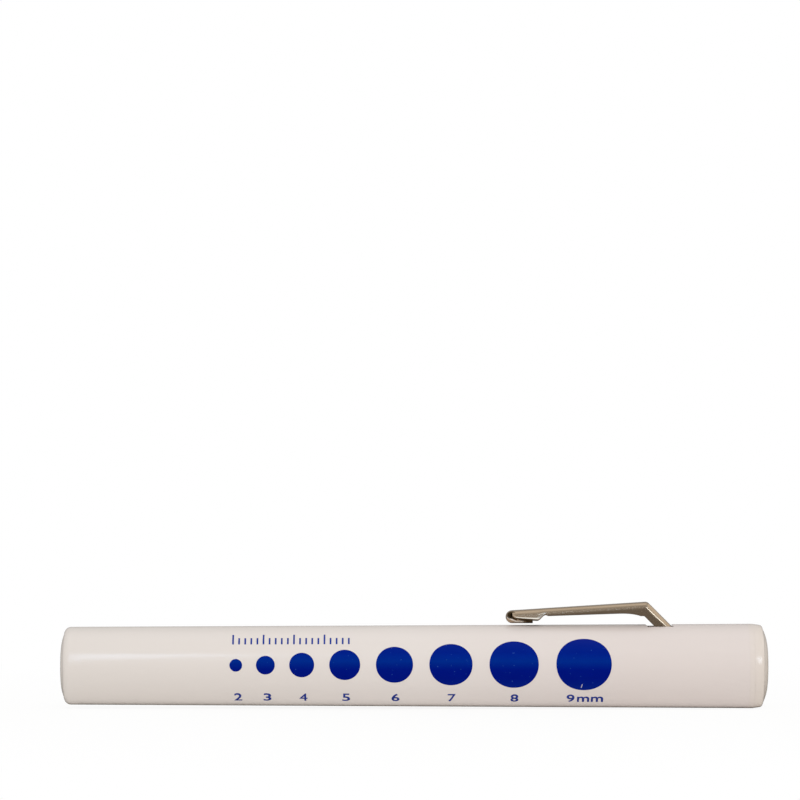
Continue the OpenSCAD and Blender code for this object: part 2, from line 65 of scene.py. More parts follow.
class Wire:  # a socket that Python expressions can work on
    def __init__(self, tree, socket=None):
        self.tree = tree
        self.socket = socket

    def node(self, kind, settings=None, inputs=None, out=0):
        made = self.tree.nodes.new("ShaderNode" + kind)
        for name, value in (settings or {}).items():
            if name == "stops":
                for i, (place, colour) in enumerate(value):
                    stops = made.color_ramp.elements
                    stop = stops[i] if i < len(stops) else stops.new(place)
                    stop.position = place
                    stop.color = colour
            else:
                setattr(made, name, value)
        for name, value in (inputs or {}).items():
            if isinstance(value, Wire):
                self.tree.links.new(value.socket, made.inputs[name])
            else:
                made.inputs[name].default_value = value
        return Wire(self.tree, made.outputs[out])

    def math(self, operation, first, second=0.0):
        return self.node("Math", {"operation": operation}, {0: first, 1: second})

    def __add__(self, other):
        return self.math("ADD", self, other)

    def __radd__(self, other):
        return self.math("ADD", other, self)

    def __sub__(self, other):
        return self.math("SUBTRACT", self, other)

    def __rsub__(self, other):
        return self.math("SUBTRACT", other, self)

    def __mul__(self, other):
        return self.math("MULTIPLY", self, other)

    def __rmul__(self, other):
        return self.math("MULTIPLY", other, self)

    def __gt__(self, other):
        return self.math("GREATER_THAN", self, other)

    def __lt__(self, other):
        return self.math("LESS_THAN", self, other)

    def size(self):
        return self.math("ABSOLUTE", self)

    def larger(self, other):
        return self.math("MAXIMUM", self, other)

    def smaller(self, other):
        return self.math("MINIMUM", self, other)

    def axis(self, number):  # x, y or z of a place
        return self.node("SeparateXYZ", {}, {"Vector": self}, out=number)

    def noise(self, scale, detail=2.0, stretch=(1, 1, 1), rough=0.5):  # scale is grains to a metre
        spread = self.node("Mapping", {}, {"Vector": self, "Scale": stretch})
        inputs = {"Vector": spread, "Scale": scale, "Detail": detail, "Roughness": rough}
        return self.node("TexNoise", {}, inputs)

    def blend(self, first, second):  # a colour between two, by this value
        return self.node("Mix", {"data_type": "RGBA"}, {0: self, 6: first, 7: second}, out=2)

    def raised(self, distance):  # a relief of this height
        return self.node("Bump", {}, {"Strength": 1.0, "Distance": distance, "Height": self})

    def feed(self, shader, name):
        self.tree.links.new(self.socket, shader.inputs[name])


def newFinish(name, **fixed):
    material = bpy.data.materials.new(name)
    material.use_nodes = True
    tree = material.node_tree
    shader = tree.nodes["Principled BSDF"]
    for key, value in fixed.items():
        shader.inputs[key.replace("_", " ")].default_value = value
    place = Wire(tree).node("TexCoord", out="Object")
    return material, shader, place


def varyGloss(place, shader, look):
    rough, added = look["gloss"]
    (rough + added * place.noise(*look["glossGrain"])).feed(shader, "Roughness")


# Moulded white plastic: a tone that drifts along the barrel, faint clouding and flow lines
plastic = {
    "barrel": [  # by share of the whole length
        (0.0, (0.755, 0.698, 0.652, 1)), (0.5, (0.776, 0.712, 0.672, 1)),
        (0.8, (0.752, 0.674, 0.638, 1))],
    "plug": [
        (0.965, (0.750, 0.672, 0.632, 1)), (0.985, (0.762, 0.682, 0.618, 1)),
        (1.0, (0.760, 0.675, 0.592, 1))],
    "nicked": (0.780, 0.715, 0.672, 1),  # what shows through a nick in the print
    "clouds": (1100, 4, (0.5, 1, 1), 0.7),  # a noise: its scale, detail, stretch and roughness
    "clouding": 0.006,  # what the deepest clouds take off the tone
    "gloss": (0.13, 0.03),  # roughness, and what the flow lines add to it
    "glossGrain": (1500, 3, (0.3, 1, 1)),
    "skin": (2600, 2, (0.35, 1, 1)),
    "skinRelief": 0.0003 * mm,
}


def mouldedPlastic(name, tones):
    material, shader, place = newFinish(name, IOR=1.5)
    along = (place.axis(0) - noseX) * (1 / (tailX - noseX))
    tone = place.node("ValToRGB", {"stops": tones}, {"Fac": along})
    shade = 1 - plastic["clouding"] * place.noise(*plastic["clouds"])
    multiply = {"data_type": "RGBA", "blend_type": "MULTIPLY"}
    tone.node("Mix", multiply, {0: 1.0, 6: tone, 7: shade}, out=2).feed(shader, "Base Color")
    varyGloss(place, shader, plastic)
    place.noise(*plastic["skin"]).raised(plastic["skinRelief"]).feed(shader, "Normal")
    return material


# Printed blue ink, a little uneven; on the dots it is speckled and nicked, and lighter in soft bands of
# painted reflection
ink = {
    "dots": ((0.0002, 0.0012, 0.182, 1), (0.0004, 0.0028, 0.208, 1)),  # deep and thin ink
    "lines": ((0.010, 0.022, 0.22, 1), (0.030, 0.055, 0.29, 1)),
    "uneven": (620, 4, (0.5, 1, 1)),
    "sheen": (0.0, 0.20, 0.9, 1),  # tint of its reflections
    "gloss": (0.26, 0.12),  # roughness, and what its noise adds
    "glossGrain": (500, 3),
    "grain": (3200, 2),
    "grainRelief": 0.004 * mm,
    "sheenTone": (0.0004, 0.0145, 0.218, 1),  # painted reflection: a lighter blue in a soft band and towards the dots' feet
    "sheenBandAt": (1.1 * mm, 1.4 * mm),  # the painted band's height over the barrel's axis, and half its width
    "sheenFoot": (1.7 * mm, 1.9 * mm, 0.6),  # how far under the axis the lighter feet start, their run and their strength
    "speck": (0.05, 0.12, 0.36, 1),
    "speckGrain": (2600, 1),
    "speckFrom": 0.75,  # of the noise's range
    "speckClear": 0.5,  # how far a speck shows
    "nick": (27.44 * mm, 3.98 * mm),  # x and z of the middle of the nick
    "nickHalf": (0.07 * mm, 0.30 * mm),
    "nickLean": 0.28,
    "nickClear": 0.6,  # how far the white shows through it
}


# painted reflection: the dots' blue is lighter in a soft band and towards their feet
def paintedSheenBands(place):
    high = place.axis(2) - axisZ
    middle, half = ink["sheenBandAt"]
    start, run, strength = ink["sheenFoot"]
    band = 1 - (high - middle).size() * (1 / half)
    foot = (high + start) * (-strength / run)
    return band.larger(foot).larger(0.0)


def inkNick(place):
    up = place.axis(2) - ink["nick"][1]
    across = place.axis(0) - ink["nick"][0] - ink["nickLean"] * up
    return (across.size() < ink["nickHalf"][0]) * (up.size() < ink["nickHalf"][1])


def printedInk(name, tones, wornAndLit):
    material, shader, place = newFinish(name, IOR=1.6, Specular_Tint=ink["sheen"])
    tone = place.noise(*ink["uneven"]).blend(*tones)
    if wornAndLit:
        # painted reflection as soft lighter bands across the dots
        tone = paintedSheenBands(place).blend(tone, ink["sheenTone"])
        specks = place.noise(*ink["speckGrain"]) > ink["speckFrom"]
        tone = (ink["speckClear"] * specks).blend(tone, ink["speck"])
        tone = (ink["nickClear"] * inkNick(place)).blend(tone, plastic["nicked"])
    tone.feed(shader, "Base Color")
    varyGloss(place, shader, ink)
    place.noise(*ink["grain"]).raised(ink["grainRelief"]).feed(shader, "Normal")
    return material


# Metals: rolled streaks along the sheet, tarnish in clouds and a little pitting
metals = {
    "nickel": {
        "bright": (0.57, 0.455, 0.340, 1), "dull": (0.43, 0.320, 0.215, 1),
        "rough": 0.16, "streak": (0.06, 1, 1),
        # the last two are the clip's: a bright tone for wear and painted highlight, and a dark one for
        # painted shade
        "rubbedAndLit": (0.93, 0.89, 0.81, 1), "paintedShade": (0.10, 0.065, 0.03, 1)},
    "brass": {
        "bright": (0.78, 0.57, 0.25, 1), "dull": (0.45, 0.29, 0.12, 1),
        "rough": 0.28, "streak": (0.05, 1, 1)},
    "steel": {
        "bright": (0.62, 0.61, 0.59, 1), "dull": (0.40, 0.38, 0.35, 1),
        "rough": 0.25, "streak": (1, 0.1, 1)},
    "spring": {
        "bright": (0.56, 0.55, 0.53, 1), "dull": (0.33, 0.31, 0.28, 1),
        "rough": 0.22, "streak": (1, 1, 1)},
    "tin": {
        "bright": (0.70, 0.69, 0.66, 1), "dull": (0.46, 0.45, 0.43, 1),
        "rough": 0.32, "streak": (0.1, 1, 1)},
    "cap": {
        "bright": (0.72, 0.71, 0.68, 1), "dull": (0.50, 0.48, 0.45, 1),
        "rough": 0.20, "streak": (1, 1, 0.1)},
}
tarnish = {
    "streaks": (1500, 3),  # each metal stretches them its own way
    "streakShare": 0.55,  # of the tone; the clouds have the rest
    "streakRough": 0.06,  # what they add to the roughness
    "clouds": (160, 4, (0.6, 1, 1), 0.6),
    "cloudRough": (0.16, 0.4),  # what they add to it, and the value that adds nothing
    "pits": (5200, 2),
    "pitFrom": 0.68,  # of the noise's range
    "relief": (0.6, 0.4, 0.004 * mm),  # shares of the streaks and the pits, and their height
}


def sheetMetal(name, look):
    t = tarnish
    material, shader, place = newFinish(name, Metallic=1.0)
    streaks = place.noise(*t["streaks"], look["streak"])
    clouds = place.noise(*t["clouds"])
    dulled = t["streakShare"] * streaks + (1 - t["streakShare"]) * clouds
    tone = dulled.blend(look["bright"], look["dull"])
    if "rubbedAndLit" in look:
        # on the clip: wear and painted highlight on its rims and fold
        tone = clipWearAndHighlight(place).blend(tone, look["rubbedAndLit"])
        # on the clip: painted shade in its crevices and on its inner faces
        tone = clipPaintedShade(place).blend(tone, look["paintedShade"])
    tone.feed(shader, "Base Color")
    added, level = t["cloudRough"]
    (look["rough"] + added * (clouds - level) + t["streakRough"] * streaks).feed(shader, "Roughness")
    pits = place.noise(*t["pits"]) > t["pitFrom"]
    streakShare, pitShare, relief = t["relief"]
    (streakShare * streaks - pitShare * pits).raised(relief).feed(shader, "Normal")
    return material


# Small fillings and insulators, each with its own grain
fillers = {
    "holder": {
        "pale": (0.80, 0.79, 0.75, 1), "dark": (0.72, 0.70, 0.65, 1),
        "grain": 500, "rough": 0.45, "relief": 0.01 * mm},
    "phosphor": {
        "pale": (0.90, 0.76, 0.16, 1), "dark": (0.78, 0.58, 0.08, 1),
        "grain": 6000, "rough": 0.75, "relief": 0.01 * mm},
    "fibre": {
        "pale": (0.34, 0.20, 0.11, 1), "dark": (0.20, 0.10, 0.05, 1),
        "grain": 2200, "rough": 0.82, "relief": 0.03 * mm},
    "paste": {
        "pale": (0.045, 0.045, 0.048, 1), "dark": (0.012, 0.012, 0.013, 1),
        "grain": 3500, "rough": 0.9, "relief": 0.05 * mm},
    "nylon": {
        "pale": (0.72, 0.72, 0.66, 1), "dark": (0.62, 0.61, 0.54, 1),
        "grain": 700, "rough": 0.5, "relief": 0.01 * mm},
    "film": {
        "pale": (0.060, 0.170, 0.085, 1), "dark": (0.035, 0.120, 0.058, 1),
        "grain": 300, "rough": 0.3, "relief": 0.008 * mm},
}
grainNoise = (4, (1, 1, 1), 0.6)  # detail, stretch and roughness
grainRough = (0.12, 0.5)  # what the grain adds to a filler's roughness, and the value that adds nothing


def grainyFiller(name, look):
    material, shader, place = newFinish(name)
    grain = place.noise(look["grain"], *grainNoise)
    grain.blend(look["pale"], look["dark"]).feed(shader, "Base Color")
    added, level = grainRough
    (look["rough"] + added * (grain - level)).feed(shader, "Roughness")
    grain.raised(look["relief"]).feed(shader, "Normal")
    return material


# Clear resin of the lamp, with a faint haze
resin = {
    "clear": (0.96, 0.98, 0.99, 1),
    "hazy": (0.90, 0.94, 0.96, 1),
    "haze": (300, 2),
    "gloss": (0.02, 0.05),  # roughness, and what its noise adds
    "glossGrain": (800, 3),
}


def clearResin(name):
    material, shader, place = newFinish(name, IOR=1.53, Transmission_Weight=1.0)
    place.noise(*resin["haze"]).blend(resin["clear"], resin["hazy"]).feed(shader, "Base Color")
    varyGloss(place, shader, resin)
    return material


barrelPlastic = mouldedPlastic("barrelPlastic", plastic["barrel"])
plugPlastic = mouldedPlastic("plugPlastic", plastic["plug"])
dotInk = printedInk("dotInk", ink["dots"], True)
lineInk = printedInk("lineInk", ink["lines"], False)
contactBrass = sheetMetal("contactBrass", metals["brass"])
contactSteel = sheetMetal("contactSteel", metals["steel"])
springSteel = sheetMetal("springSteel", metals["spring"])
leadTin = sheetMetal("leadTin", metals["tin"])
cellCap = sheetMetal("cellCap", metals["cap"])
holderPlastic = grainyFiller("holderPlastic", fillers["holder"])
chipPhosphor = grainyFiller("chipPhosphor", fillers["phosphor"])
washerFibre = grainyFiller("washerFibre", fillers["fibre"])
cellPaste = grainyFiller("cellPaste", fillers["paste"])
cellNylon = grainyFiller("cellNylon", fillers["nylon"])
cellFilm = grainyFiller("cellFilm", fillers["film"])
lampResin = clearResin("lampResin")
print("finishes made:", len(bpy.data.materials))


smoothTo = 38  # degrees; edges that turn further stay sharp
seamGap = 0.0005 * mm  # points closer than this are one
roundSteps = 192  # round the barrel and the plug
innerSteps = 96  # round the pieces inside, and round a dot
skinSteps = 40  # along the barrel
edgeSteps = 12  # over the round edge of the nose or the tail
crownSteps = 10  # over their domes
softSteps = 5  # over a small round
rimSteps = 4  # over the rims at the seam


def addObject(name, data):
    made = bpy.data.objects.new(name, data)
    bpy.context.scene.collection.objects.link(made)
    return made


def addMesh(name, bm):
    mesh = bpy.data.meshes.new(name)
    bm.to_mesh(mesh)
    bm.free()
    return addObject(name, mesh)


def addPiece(bm, name, body, material, replaced=()):
    piece = addMesh(name, bm)
    piece.data.shade_smooth()
    piece.data.set_sharp_from_angle(angle=math.radians(smoothTo))
    piece.data.materials.append(material)
    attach(piece, body)
    if replaced:
        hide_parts(*replaced)


def mixed(first, last, share):
    return first + (last - first) * share


def arc(middle, radius, start, end, count):  # points of a round, angles in degrees
    turns = [math.radians(start + (end - start) * i / count) for i in range(count + 1)]
    return [(middle[0] + radius * math.cos(a), middle[1] + radius * math.sin(a)) for a in turns]


def line(start, end, count):  # points along a straight run, without its last one
    return [tuple(Vector(start).lerp(end, i / count)) for i in range(count)]


def evenly(points, count):  # points at equal distances along a path
    points = [Vector(point) for point in points]
    steps = [(b - a).length for a, b in zip(points, points[1:])]
    spaced = []
    for i in range(count + 1):
        left = sum(steps) * i / count
        for a, b, step in zip(points, points[1:], steps):
            if left <= step or b is points[-1]:
                spaced.append(a.lerp(b, min(1, left / step)))
                break
            left -= step
    return spaced


def turned(outline, steps=roundSteps):  # spins an outline of (x, radius) points round the axis
    bm = bmesh.new()
    points = [bm.verts.new((x, 0, axisZ + radius)) for x, radius in outline]
    edges = [bm.edges.new((points[i - 1], points[i])) for i in range(len(points))]
    if outline[0][1] == 0 and outline[-1][1] == 0:  # both ends on the axis, so the outline stays open
        bm.edges.remove(edges.pop(0))
    bmesh.ops.spin(
        bm, geom=points + edges, cent=(0, 0, axisZ), axis=(1, 0, 0),
        angle=math.tau, steps=steps, use_merge=True)
    bmesh.ops.remove_doubles(bm, verts=bm.verts, dist=seamGap)
    bmesh.ops.recalc_face_normals(bm, faces=bm.faces)
    return bm


def cutAway(bm, cutter):  # takes the cutter's shape out of a piece
    made = [addMesh("cutting", part) for part in (bm, cutter)]
    cut = made[0].modifiers.new("cut", "BOOLEAN")
    cut.object = made[1]
    cut.operation = "DIFFERENCE"
    cut.solver = "EXACT"
    result = bmesh.new()
    result.from_object(made[0], bpy.context.evaluated_depsgraph_get())
    for part in made:
        bpy.data.objects.remove(part)
    return result


def prism(side, width):  # stands a side view of (x, z) points upright, with a width across
    bm = bmesh.new()
    face = bm.faces.new([bm.verts.new((x, -width / 2, z)) for x, z in side])
    grown = bmesh.ops.extrude_face_region(bm, geom=[face])["geom"]
    far = [g for g in grown if isinstance(g, bmesh.types.BMVert)]
    bmesh.ops.translate(bm, verts=far, vec=(0, width, 0))
    bmesh.ops.recalc_face_normals(bm, faces=bm.faces)
    return bm


# Barrel: tapered tube with a rounded nose, lamp hole, plug seat and the clip's slot
barrel = {
    "noseRadius": 6.4 * mm,
    "noseCrown": 0.5 * mm,
    "noseEdge": 1.1 * mm,
    "lampHole": 2.7 * mm,
    "holeRound": 0.2 * mm,
    "endWall": 1.4 * mm,
    "boreNose": 5.45 * mm,
    "boreTail": 5.73 * mm,
    "seatRadius": 5.85 * mm,
    "seatDepth": 6.25 * mm,
    "rimRound": 0.04 * mm,
    "grooveFront": 9.0 * mm,
    "grooveWidth": 2.54 * mm,
    "grooveHigh": 5.64 * mm,
    "slotWidth": 4.1 * mm,
    "slotFront": 96.414 * mm,  # station of the slot's front edge at the root's height
    "slotBack": 100.7 * mm,
    "slotHigh": 6.884 * mm,
    "slotLow": 5.32 * mm,
}
taper = (tailRadius - barrel["noseRadius"]) / (seamX - noseX)


def skinRadius(x):  # radius of the barrel's skin at x
    return barrel["noseRadius"] + taper * (x - noseX)


def crown(start, end, count):  # a slight dome from a flat middle out to a round edge
    shares = [i / count for i in range(count)]
    return [(mixed(start[0], end[0], t ** 2), mixed(start[1], end[1], t)) for t in shares]


def makeBarrel():
    b = barrel
    edgeX = noseX + b["noseCrown"] + b["noseEdge"]
    edge = arc((edgeX, skinRadius(edgeX) - b["noseEdge"]), b["noseEdge"], 180, 90, edgeSteps)
    hole = b["lampHole"]
    lip = b["holeRound"]
    rim = b["rimRound"]
    seatX = seamX - b["seatDepth"]
    skinEnd = (seamX - rim, skinRadius(seamX - rim))
    outline = arc((noseX + lip, hole + lip), lip, 270, 180, softSteps)
    outline += crown((noseX, hole + lip), edge[0], crownSteps)[1:]
    outline += edge[:-1]
    outline += line((edgeX, skinRadius(edgeX)), skinEnd, skinSteps)
    outline += arc((seamX - rim, tailRadius - rim), rim, 90, 0, rimSteps)
    outline += [(seamX, b["seatRadius"] + rim), (seamX - rim, b["seatRadius"])]
    outline += [(seatX, b["seatRadius"]), (seatX, b["boreTail"])]
    outline += [(noseX + b["endWall"], b["boreNose"]), (noseX + b["endWall"], hole)]
    bm = turned(outline)
    groove = [(noseX + b["grooveFront"], axisZ), (noseX + b["slotBack"], axisZ)]
    groove += [(x, axisZ + b["grooveHigh"]) for x, z in reversed(groove)]
    bm = cutAway(bm, prism(groove, b["grooveWidth"]))
    high = 1 * mm  # how far the cutter stands over the skin
    fall = b["slotHigh"] - b["slotLow"]
    top = axisZ + b["slotHigh"]
    slot = [
        (noseX + b["slotFront"] - high, top + high), (noseX + b["slotBack"] - high, top + high),
        (noseX + b["slotBack"] + fall, top - fall), (noseX + b["slotFront"] + fall, top - fall),
    ]
    bm = cutAway(bm, prism(slot, b["slotWidth"]))
    addPiece(bm, "barrelShell", "barrel", barrelPlastic, ["barrel"])


makeBarrel()
print("barrel made")


# Tail plug: domed head, hollow spigot with a lead-in, post inside the spring
plug = {
    "crown": 0.8 * mm,
    "edge": 0.55 * mm,
    "edgeTurn": 82,  # degrees of its round, from the crown to the flank
    "flat": 3.0 * mm,
    "ease": (1.9 * mm, 0.16 * mm),  # how far before the edge the flank starts to draw in, and by how much
    "flankSteps": 12,
    "rimRound": 0.04 * mm,
    "spigotRadius": 5.8 * mm,
    "spigotLength": 6.0 * mm,
    "spigotWall": 1.2 * mm,
    "leadIn": 0.35 * mm,
    "floor": 0.8 * mm,
    "postRadius": 2.207 * mm,
    "postLength": 4.0 * mm,
}


def makePlug():
    p = plug
    rim = p["rimRound"]
    lead = p["leadIn"]
    run, drop = p["ease"]
    edgeX = tailX - p["crown"] - p["edge"]
    edge = arc((edgeX, tailRadius - drop - p["edge"]), p["edge"], 0, p["edgeTurn"], edgeSteps)
    shares = [(i + 1) / p["flankSteps"] for i in range(p["flankSteps"])]
    flank = [(edgeX - run * share, tailRadius - drop * (1 - share) ** 2) for share in shares]
    endX = seamX - p["spigotLength"]
    floorX = seamX - p["floor"]
    postX = floorX - p["postLength"]
    outer = p["spigotRadius"]
    inner = outer - p["spigotWall"]
    outline = [(tailX, 0)] + crown((tailX, p["flat"]), edge[0], crownSteps)
    outline += edge + flank
    outline += arc((seamX + rim, tailRadius - rim), rim, 90, 180, rimSteps)
    outline += [(seamX, outer), (endX + lead, outer), (endX, outer - lead), (endX, inner)]
    outline += [(floorX, inner), (floorX, p["postRadius"])]
    outline += arc((postX + lead, p["postRadius"] - lead), lead, 90, 180, softSteps)
    outline += [(postX, 0)]
    addPiece(turned(outline), "tailPlug", "plug", plugPlastic, ["tail_plug"])


makePlug()
print("plug made")


# Pocket clip: a stamped channel with round shoulders, flared ears, a rolled end, a leg and a contact foot
clip = {
    "sheet": 0.45 * mm,
    "width": 3.6 * mm,
    "shoulder": 1.0 * mm,
    "earShoulder": 1.25 * mm,
    "armLength": 22.35 * mm,
    "legAngle": 45.0,
    "rollRadius": 1.05 * mm,
    "rollWidth": 2.7 * mm,
    "rollTongue": 3.4 * mm,
    "startLip": 0.34 * mm,  # how far the sides of the rolled end turn in where it starts
    "rollLip": 0.92 * mm,
    "tongueLip": 0.45 * mm,
    "lipCurve": 4,  # power of their turn, from the middle out
    "tipDepth": 0.78 * mm,
    "frontDepth": 1.15 * mm,
    "frontRun": 0.65 * mm,  # along the arm, from the tip to the foot of the flange's slanted front
    "earDepth": 1.62 * mm,
    "earRun": 4.0 * mm,  # to the ears' lowest point
    "earCurve": 0.8,  # power of the rim's way down to it
    "earEnd": 5.5 * mm,
    "earLean": 14.0,
    "earLip": 0.24 * mm,  # how much of the ears' rim turns out, and at what lean
    "earLipLean": 42.0,
    "notchDepth": 1.08 * mm,
    "notchRun": 0.35 * mm,
    "armDepth": 1.24 * mm,  # behind the ears
    "armGrowth": 0.029,
    "elbowExtra": 1.2 * mm,  # what the bend adds to the channel's depth
    "elbowReach": 5.5 * mm,  # how far before the elbow it starts to
    "elbowCurve": 3,  # power of its growth
    "elbowFan": 1.3 * mm,  # run on each side of the elbow that the inner corner's round takes
    "elbowRound": 0.35 * mm,
    "legDepth": 2.03 * mm,
    "flangeEnd": 6.55 * mm,  # radius at which the leg's flanges end inside the slot
    "footWidth": 3.0 * mm,
    "footBend": 0.6 * mm,
    "footRings": (0.08, 0.3, 0.65, 1),  # shares of the way from the leg to the foot's bend
    "footStart": 0.15,  # how far the first of them has left the channel's columns
    "edgeRound": 0.12 * mm,
    "edgeAngle": 50,  # degrees; edges that turn further are rounded
    "rubbedAndLit": (1.84 * mm, 1.94 * mm),  # distance from the middle at which the ears' rims are painted bright, as wear and painted highlight
    "earBack": (3.86 * mm, 1.64 * mm, -0.57),  # painted highlight line at the ears' back: start, drop and slope
    "earBackHalf": 0.10 * mm,
    "scuffGlintDrop": 0.88 * mm,  # a row of scuffs and painted highlight specks runs along the arm's fold, this far below its top
    "scuffGlintHalf": 0.08 * mm,
    "scuffGlintGrain": (4200, 2, (0.6, 1, 1)),
    "scuffGlintFrom": 0.58,  # of the noise's range
    "scuffGlintBright": 0.4,
    "shadeFrom": (1.6 * mm, 2.4 * mm),  # painted shade along the tongue, from this far behind the middle of the roll
    "shadeDrop": 0.6 * mm,
    "rollSide": (0.8 * mm, 1.4 * mm),  # distance from the middle of the roll's turned-in sides
    "rollShadeEdge": (-0.29 * mm, -0.46, -0.64 * mm),  # lower edge of the dark gap painted on them: height, slope, lowest
    "rollShadeFront": -0.78 * mm,
    "rollShadeReach": 0.92 * mm,  # from the roll's axis
    "bandHigh": 0.26 * mm,  # a band of painted highlight runs under the dark gap painted on them
    "bandEnds": (-0.97 * mm, 1.9 * mm),
    "earInside": (1.36 * mm, 1.72 * mm),  # distance from the middle of the ears' inner faces
    "insideDrop": 0.85 * mm,
    "earUnder": (1.10 * mm, 0.14),  # line of the ears' rims: drop at the roll, and slope
}
armRise = (clipHigh.z - rollZ - clip["rollRadius"]) / clip["armLength"]


def clipPlaces(place):  # out from the middle, back from the roll's axis, up from it, below the arm's top
    back = place.axis(0) - rollX
    rise = place.axis(2) - rollZ
    return place.axis(1).size(), back, rise, clip["rollRadius"] + armRise * back - rise


def rollShadeEdge(back):  # height of the lower edge of the dark gap painted on the roll's sides
    high, slope, lowest = clip["rollShadeEdge"]
    return (high + slope * back).larger(lowest)


def between(wire, ends):
    return (wire > ends[0]) * (wire < ends[1])


def clipWearAndHighlight(place):  # where the sheet is painted bright: wear and painted highlight on the ears' rims, painted highlight under the roll's painted gap and along the ears' back, and scuffs with painted highlight specks on the arm
    side, back, rise, drop = clipPlaces(place)
    start, end = clip["rubbedAndLit"]
    rim = (side - start) * (1 / (end - start))
    row = (drop - clip["scuffGlintDrop"]).size() < clip["scuffGlintHalf"]
    arm = between(back, (clip["earEnd"], clip["armLength"]))
    specks = place.noise(*clip["scuffGlintGrain"]) > clip["scuffGlintFrom"]
    wornAndLit = rim.larger(clip["scuffGlintBright"] * row * arm * specks)
    under = between(rollShadeEdge(back) - rise, (0, clip["bandHigh"]))
    band = between(side, clip["rollSide"]) * between(back, clip["bandEnds"]) * under
    lineStart, lineDrop, slope = clip["earBack"]
    off = (drop - lineDrop - slope * (back - lineStart)).size()
    ear = between(back, (lineStart, clip["earEnd"])) * (side > clip["earInside"][0])
    return wornAndLit.larger(band + ear * (off < clip["earBackHalf"])).smaller(1.0)


def clipPaintedShade(place):  # painted shade on the tongue's end, as a dark gap painted on the roll's turned-in sides, and on the ears' inner faces
    side, back, rise, drop = clipPlaces(place)
    start, end = clip["shadeFrom"]
    rolled = between(side, clip["rollSide"])
    along = (back - start) * (1 / (end - start))
    along = along.smaller(1.0).larger(0.0)
    tongue = along * (rise < -clip["shadeDrop"]) * (back < clip["earEnd"]) * rolled
    near = (back * back + rise * rise) < clip["rollShadeReach"] ** 2
    rollShade = rolled * near * (rise > rollShadeEdge(back)) * (back > clip["rollShadeFront"])
    lowest, slope = clip["earUnder"]
    inside = (side < clip["earInside"][1]) * (drop > clip["insideDrop"])
    ears = inside.larger(drop > lowest + slope * back)
    ears = ears * (side > clip["earInside"][0]) * between(back, (0, clip["earEnd"]))
    return tongue.larger(rollShade).larger(ears)


clipNickel = sheetMetal("clipNickel", metals["nickel"])


def eased(share):  # a smooth way from 0 to 1
    return 0.5 - 0.5 * math.cos(math.pi * max(0, min(1, share)))


def curve(start, pull, end, t):  # a round corner between two points
    return start.lerp(pull, t).lerp(pull.lerp(end, t), t)


def lineMeet(p, d, q, e):  # where two straight lines cross
    cross = d.x * e.y - d.y * e.x
    t = ((q.x - p.x) * e.y - (q.y - p.y) * e.x) / cross
    return p + d * t


def channelShape(run, armRun):  # of the arm: its depth, and how far it has turned into the ears' shape
    c = clip
    if run < c["frontRun"]:
        return mixed(c["tipDepth"], c["frontDepth"], run / c["frontRun"]), 1
    if run < c["earRun"]:
        share = (run - c["frontRun"]) / (c["earRun"] - c["frontRun"])
        return mixed(c["frontDepth"], c["earDepth"], share ** c["earCurve"]), 1
    if run < c["earEnd"]:
        share = eased((run - c["earRun"]) / (c["earEnd"] - c["earRun"]))
        return mixed(c["earDepth"], c["notchDepth"], share), 1 - share
    past = run - c["earEnd"]
    bend = max(0, 1 - (armRun - run) / c["elbowReach"]) ** c["elbowCurve"]
    step = mixed(c["notchDepth"], c["armDepth"], eased(past / c["notchRun"]))
    return step + c["armGrowth"] * past + c["elbowExtra"] * bend, 0


stationSteps = {"ear": 48, "arm": 44, "elbow": 16, "leg": 10, "roll": 22, "tongue": 12, "bend": 6}
lipSteps = (8, 6)  # of the roll's and the tongue's, those over which the lips turn in and back


def clipStations():  # side view of the channel, from the tip to the leg's end: top, bottom and ear share
    c = clip
    tip = Vector((rollX, rollZ + c["rollRadius"]))
    elbow = Vector((rollX + c["armLength"], clipHigh.z))
    along = (elbow - tip).normalized()
    under = Vector((along.y, -along.x))  # square to the arm, downwards
    lean = math.radians(c["legAngle"])
    leg = Vector((math.cos(lean), -math.sin(lean)))
    inside = Vector((leg.y, -leg.x))  # square to the leg, towards the arm's underside
    armRun = (elbow - tip).length
    fanRun = armRun - c["elbowFan"]
    steps = stationSteps
    armStart = c["earEnd"] * 1.1  # stations stand closer up to here
    runs = [armStart * i / steps["ear"] for i in range(steps["ear"])]
    runs += [mixed(armStart, fanRun, i / steps["arm"]) for i in range(steps["arm"] + 1)]
    stations = []
    for run in runs:
        top = tip + along * run
        deep, ear = channelShape(run, armRun)
        stations.append((top, top + under * deep, ear))
    fanStart = stations[-1][1]
    fanEnd = elbow + leg * c["elbowFan"] + inside * c["legDepth"]
    before = elbow - along * c["elbowRound"]
    after = elbow + leg * c["elbowRound"]
    throat = lineMeet(fanStart, along, fanEnd, leg)
    turnFrom, turnTo = 0.4, 0.6  # shares of the elbow's stations between which the outer corner turns
    for i in range(1, steps["elbow"] + 1):  # the outer corner stays tight, the inner one is a wider round
        t = i / steps["elbow"]
        if t < turnFrom:
            top = (elbow - along * c["elbowFan"]).lerp(before, t / turnFrom)
        elif t < turnTo:
            top = curve(before, elbow, after, (t - turnFrom) / (turnTo - turnFrom))
        else:
            top = after.lerp(elbow + leg * c["elbowFan"], (t - turnTo) / (1 - turnTo))
        stations.append((top, curve(fanStart, throat, fanEnd, t), 0))
    endZ = axisZ + c["flangeEnd"]
    legTop, legLow = stations[-1][:2]
    topEnd = legTop + leg * ((legTop.y - endZ) / -leg.y)
    lowEnd = legLow + leg * ((legLow.y - endZ) / -leg.y)
    for i in range(1, steps["leg"] + 1):
        share = i / steps["leg"]
        stations.append((legTop.lerp(topEnd, share), legLow.lerp(lowEnd, share), 0))
    return stations, leg


sideSteps = 26  # points on each side of the middle of a section
shoulderSteps = 16  # over a shoulder, before they are spaced evenly
rollSteps = 18  # those of the side's points that the rolled end and the foot carry on


